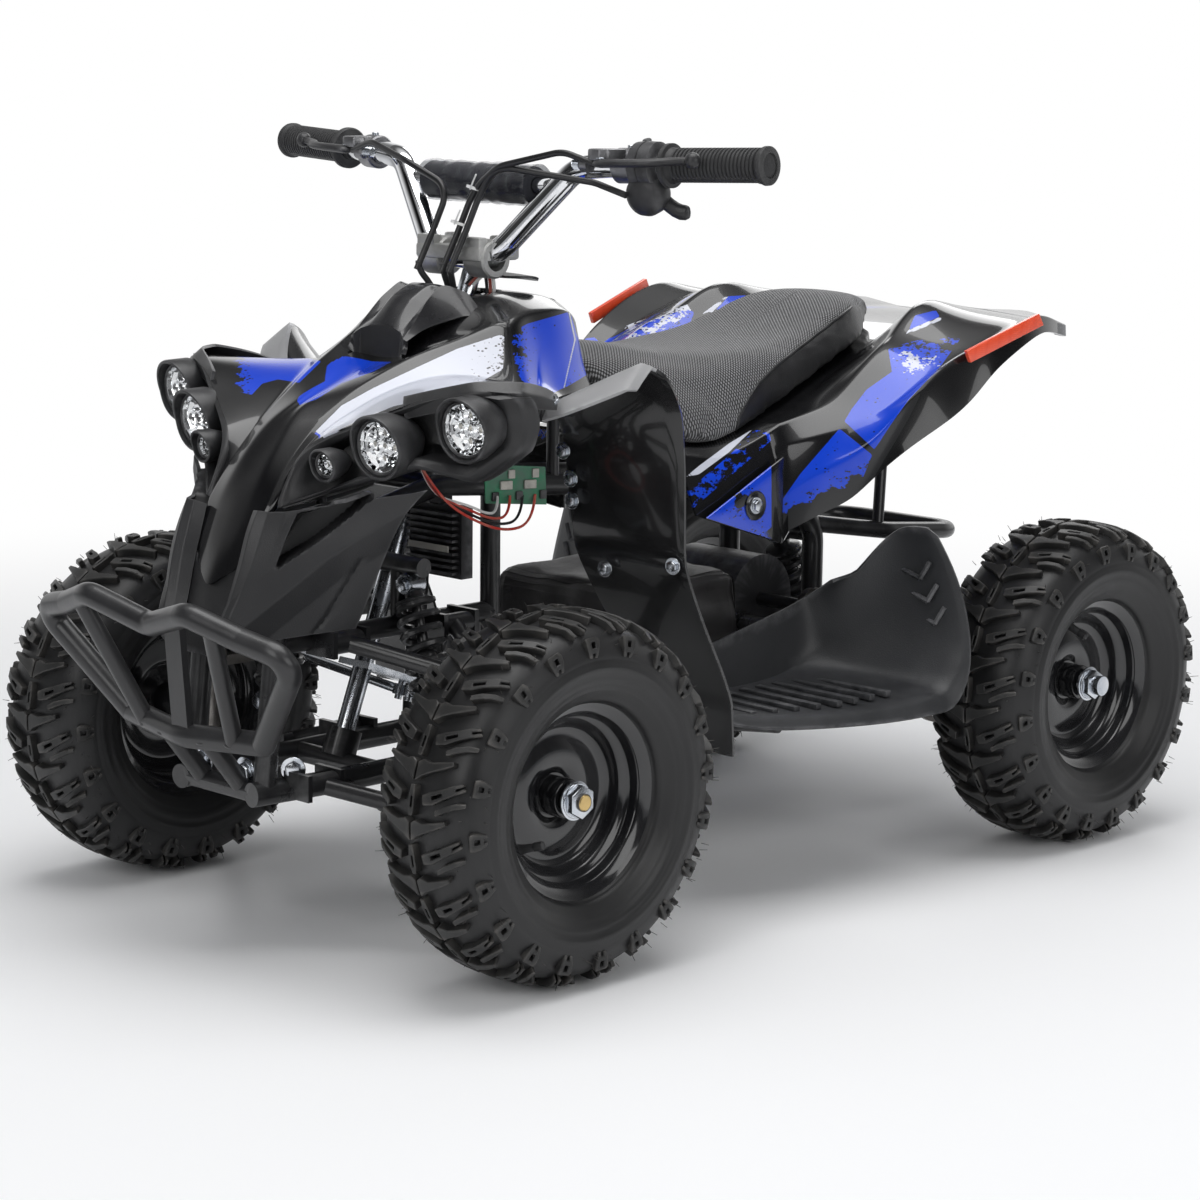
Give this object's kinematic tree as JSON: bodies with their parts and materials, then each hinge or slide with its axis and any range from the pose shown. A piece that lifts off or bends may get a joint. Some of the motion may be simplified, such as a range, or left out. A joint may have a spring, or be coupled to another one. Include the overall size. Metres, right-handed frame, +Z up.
{
  "type": "electric quad bike",
  "caption": "Child-size electric quad bike with tubular frame, plastic body, padded seat, steered front wheels and a solid rear axle.",
  "frame": {"origin": "on the ground under the middle of the whole machine", "axes": "+X forward, +Y to the rider's left, +Z up"},
  "size_m": [1.1529, 0.656, 0.7194],
  "materials": {
    "frame_black": "satin black paint",
    "arm_black": "satin black paint",
    "shock_black": "gloss black coil",
    "motor_black": "black",
    "battery_cover": "soft black cover",
    "controller_black": "black finned case",
    "chain_steel": "oiled",
    "seat_cover": "textured vinyl",
    "body_gloss": "gloss black with blue fields",
    "body_matte": "grained black",
    "lamp_clear": "clear lens over facets",
    "tread_plastic": "grained dark grey",
    "reflector_orange": "prismatic orange-red",
    "stem_steel": "bare",
    "cast_aluminium": "cast",
    "chrome": "polished",
    "foam": "foam",
    "grip_rubber": "ribbed",
    "control_plastic": "black",
    "cable_sheath": "smooth",
    "knuckle_steel": "satin black paint",
    "zinc": "zinc plated",
    "tyre": "rubber",
    "rim_black": "gloss black stamped steel"
  },
  "bodies": {
    "chassis": {"frame": "frame_black", "top_frame": "frame_black", "rear_loop": "frame_black", "arm_mounts": "frame_black", "footrest_bars": "frame_black", "swing_arm": "arm_black", "motor": "motor_black", "battery_box": "battery_cover", "controller": "controller_black", "chain": "chain_steel", "front_arms": "arm_black", "front_shocks": "shock_black", "rear_shock": "shock_black", "seat": "seat_cover", "rear_body": "body_gloss", "hood": "body_gloss", "nose_panel": "body_matte", "shrouds": "body_matte", "lamp_pods": "body_matte", "lamps": "lamp_clear", "mudguard_left": "body_gloss", "mudguard_right": "body_gloss", "footrest_left": "tread_plastic", "footrest_right": "tread_plastic", "front_bumper": "frame_black", "side_panels": "body_gloss", "reflectors": "reflector_orange"},
    "steering": {"steering_stem": "stem_steel", "riser_clamp": "cast_aluminium", "handlebar": "chrome", "bar_pad": "foam", "grips": "grip_rubber", "levers": "control_plastic", "throttle": "control_plastic", "control_cables": "cable_sheath"},
    "knuckle_left": {"knuckle_left": "knuckle_steel"},
    "knuckle_right": {"knuckle_right": "knuckle_steel"},
    "tie_rod_left": {"tie_rod_left": "zinc"},
    "tie_rod_right": {"tie_rod_right": "zinc"},
    "wheel_front_left": {"tyre_front_left": "tyre", "rim_front_left": "rim_black"},
    "wheel_front_right": {"tyre_front_right": "tyre", "rim_front_right": "rim_black"},
    "rear_axle": {"rear_axle": "zinc", "brake_disc": "zinc", "sprocket": "zinc", "tyre_rear_left": "tyre", "rim_rear_left": "rim_black", "tyre_rear_right": "tyre", "rim_rear_right": "rim_black"}
  },
  "joints": [
    {"name": "steering", "type": "hinge", "parent": "chassis", "child": "steering", "pos_m": [0.24484, 0, 0.4], "axis": [-0.3543, 0, 0.9351], "range_deg": [-30, 30]},
    {"name": "kingpin_left", "type": "hinge", "parent": "chassis", "child": "knuckle_left", "pos_m": [0.3275, 0.195, 0.165], "axis": [0, 0, 1], "range_deg": [-30, 30]},
    {"name": "kingpin_right", "type": "hinge", "parent": "chassis", "child": "knuckle_right", "pos_m": [0.3275, -0.195, 0.165], "axis": [0, 0, 1], "range_deg": [-30, 30]},
    {"name": "tie_rod_pin_left", "type": "hinge", "parent": "steering", "child": "tie_rod_left", "pos_m": [0.25087, 0.007, 0.21474], "axis": [-0.3543, 0, 0.9351], "range_deg": [-30, 30]},
    {"name": "tie_rod_pin_right", "type": "hinge", "parent": "steering", "child": "tie_rod_right", "pos_m": [0.25087, -0.007, 0.21474], "axis": [-0.3543, 0, 0.9351], "range_deg": [-30, 30]},
    {"name": "wheel_spin_front_left", "type": "hinge", "parent": "knuckle_left", "child": "wheel_front_left", "pos_m": [0.3275, 0.27, 0.165], "axis": [0, 1, 0], "continuous": true},
    {"name": "wheel_spin_front_right", "type": "hinge", "parent": "knuckle_right", "child": "wheel_front_right", "pos_m": [0.3275, -0.27, 0.165], "axis": [0, 1, 0], "continuous": true},
    {"name": "rear_axle_spin", "type": "hinge", "parent": "chassis", "child": "rear_axle", "pos_m": [-0.4125, 0, 0.165], "axis": [0, 1, 0], "continuous": true}
  ],
  "couplings": [
    {"joint": "kingpin_left", "follows": "steering", "ratio": 1},
    {"joint": "kingpin_right", "follows": "steering", "ratio": 1},
    {"joint": "tie_rod_pin_left", "follows": "steering", "ratio": -1},
    {"joint": "tie_rod_pin_right", "follows": "steering", "ratio": -1}
  ]
}
